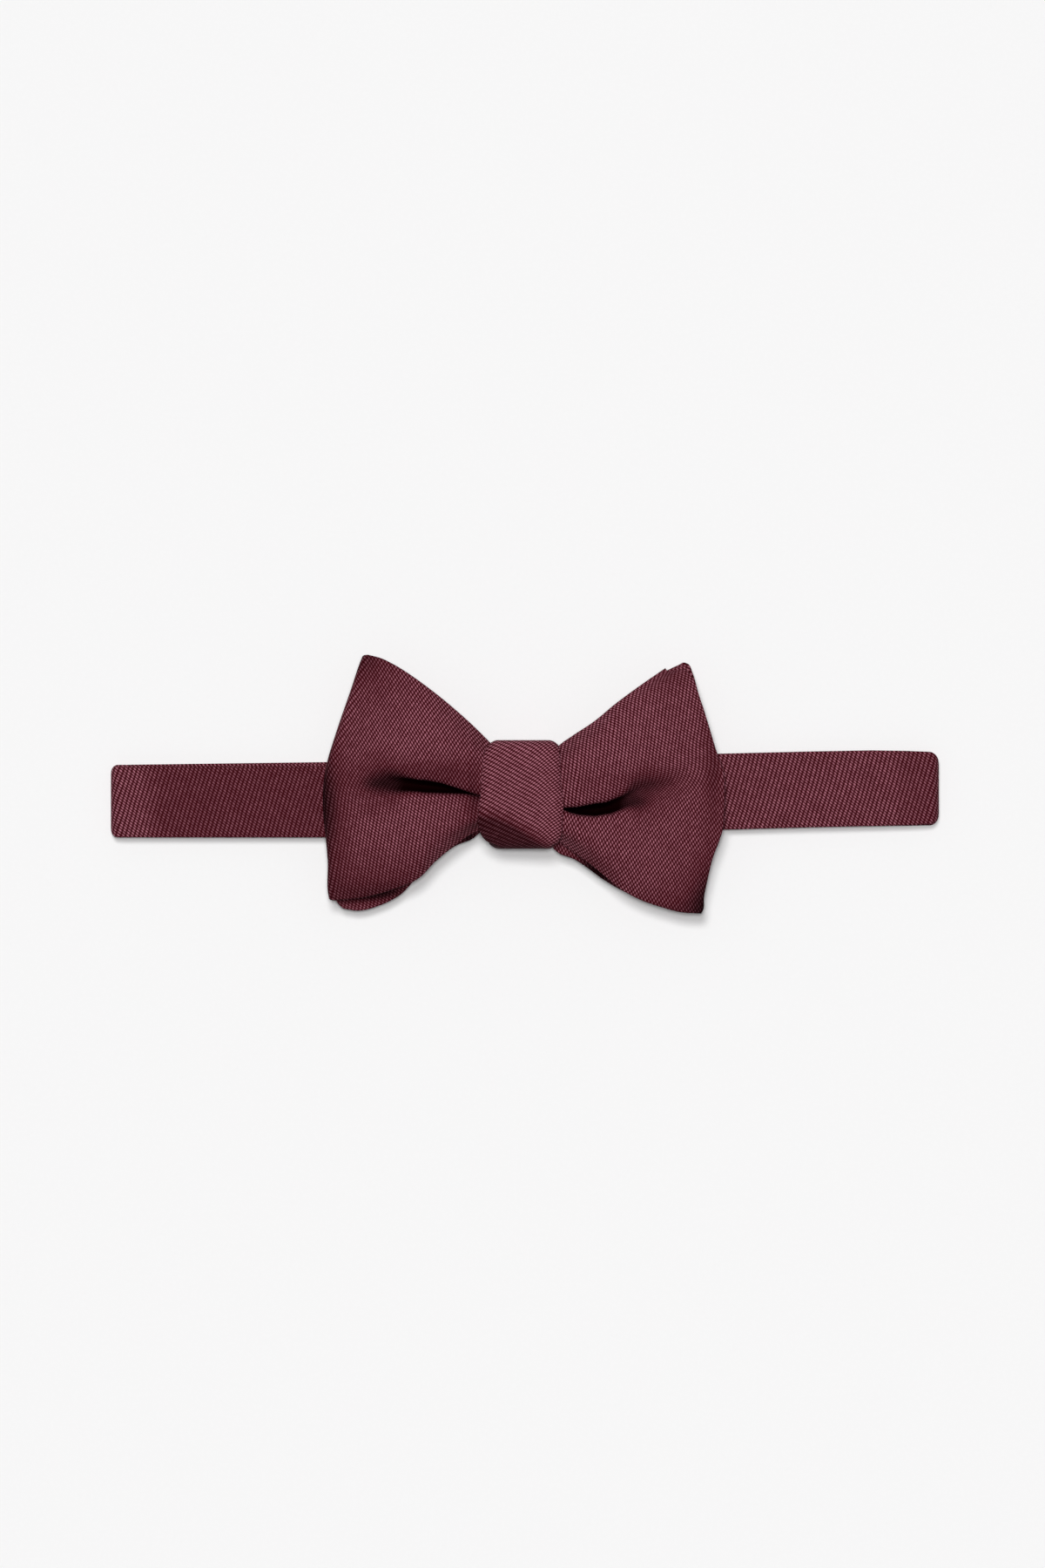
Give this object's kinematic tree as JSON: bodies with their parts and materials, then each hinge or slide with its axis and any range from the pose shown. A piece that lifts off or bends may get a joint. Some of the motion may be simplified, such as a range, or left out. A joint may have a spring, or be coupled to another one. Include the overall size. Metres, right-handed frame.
{
  "type": "bow tie",
  "caption": "Hand-tied silk bow tie with two layers of wings, a wrapped knot and an adjustable neck band closed by a hook and eye, laid flat with the band folded behind the bow.",
  "frame": {"origin": "bottom centre of the whole tie as it lies, on the surface under the middle of the bow", "axes": "+X along the band towards the eye's side fold, +Y up the bow, +Z out of the front of the knot, away from the surface that the tie lies on"},
  "size_m": [0.2346, 0.0728, 0.0196],
  "materials": {
    "silk": "Burgundy silk with a small diagonal weave of lighter dots, soft sheen",
    "rear_silk": "The same burgundy silk, in shade behind the bow",
    "interlining": "Off-white woven interlining, matt",
    "thread": "Dark wine sewing thread",
    "metal": "Nickel-plated pressed steel, satin"
  },
  "bodies": {
    "knot": {"front_band": "silk", "front_band_interlining": "interlining", "left_fold": "silk", "right_fold": "silk", "knot_wrap": "silk", "knot_core": "silk", "gather_thread": "thread", "knot_stitches": "thread"},
    "left_wing": {"front_left_wing": "silk", "front_left_interlining": "interlining", "rear_left_wing": "rear_silk", "rear_left_interlining": "interlining"},
    "right_wing": {"front_right_wing": "silk", "front_right_interlining": "interlining", "rear_right_wing": "rear_silk", "rear_right_interlining": "interlining"},
    "band_left_rear": {"left_strap": "rear_silk", "left_strap_interlining": "interlining"},
    "adjuster": {"slide_adjuster": "metal", "return_strap": "rear_silk", "bar_tack": "thread"},
    "hook": {"hook": "metal", "strap_loop": "rear_silk"},
    "band_right_rear": {"right_strap": "rear_silk", "right_strap_interlining": "interlining", "eye": "metal", "eye_loop": "rear_silk", "eye_tack": "thread"}
  },
  "joints": [
    {"name": "left_wing_lift", "type": "hinge", "parent": "knot", "child": "left_wing", "pos_m": [-0.0163, -0.001, 0.011], "axis": [0, 1, 0], "range_deg": [0, 25], "stiffness_Nm_per_rad": 0.02},
    {"name": "right_wing_lift", "type": "hinge", "parent": "knot", "child": "right_wing", "pos_m": [0.0139, -0.001, 0.011], "axis": [0, -1, 0], "range_deg": [0, 25], "stiffness_Nm_per_rad": 0.02},
    {"name": "left_fold_open", "type": "hinge", "parent": "knot", "child": "band_left_rear", "pos_m": [-0.1143, -0.0044, 0.00305], "axis": [0, 1, 0], "range_deg": [0, 170], "deforming": ["left_fold"]},
    {"name": "right_fold_open", "type": "hinge", "parent": "knot", "child": "band_right_rear", "pos_m": [0.1143, -0.0014, 0.00305], "axis": [0, -1, 0], "range_deg": [0, 170], "deforming": ["right_fold"]},
    {"name": "slide_travel", "type": "slide", "parent": "band_left_rear", "child": "adjuster", "axis": [0.9999, 0.0131, 0], "range_m": [-0.06, 0]},
    {"name": "hook_follow", "type": "slide", "parent": "adjuster", "child": "hook", "axis": [0.9999, 0.0131, 0], "range_m": [0, 0.03]}
  ],
  "couplings": [
    {"joint": "hook_follow", "follows": "slide_travel", "ratio": -0.5}
  ]
}
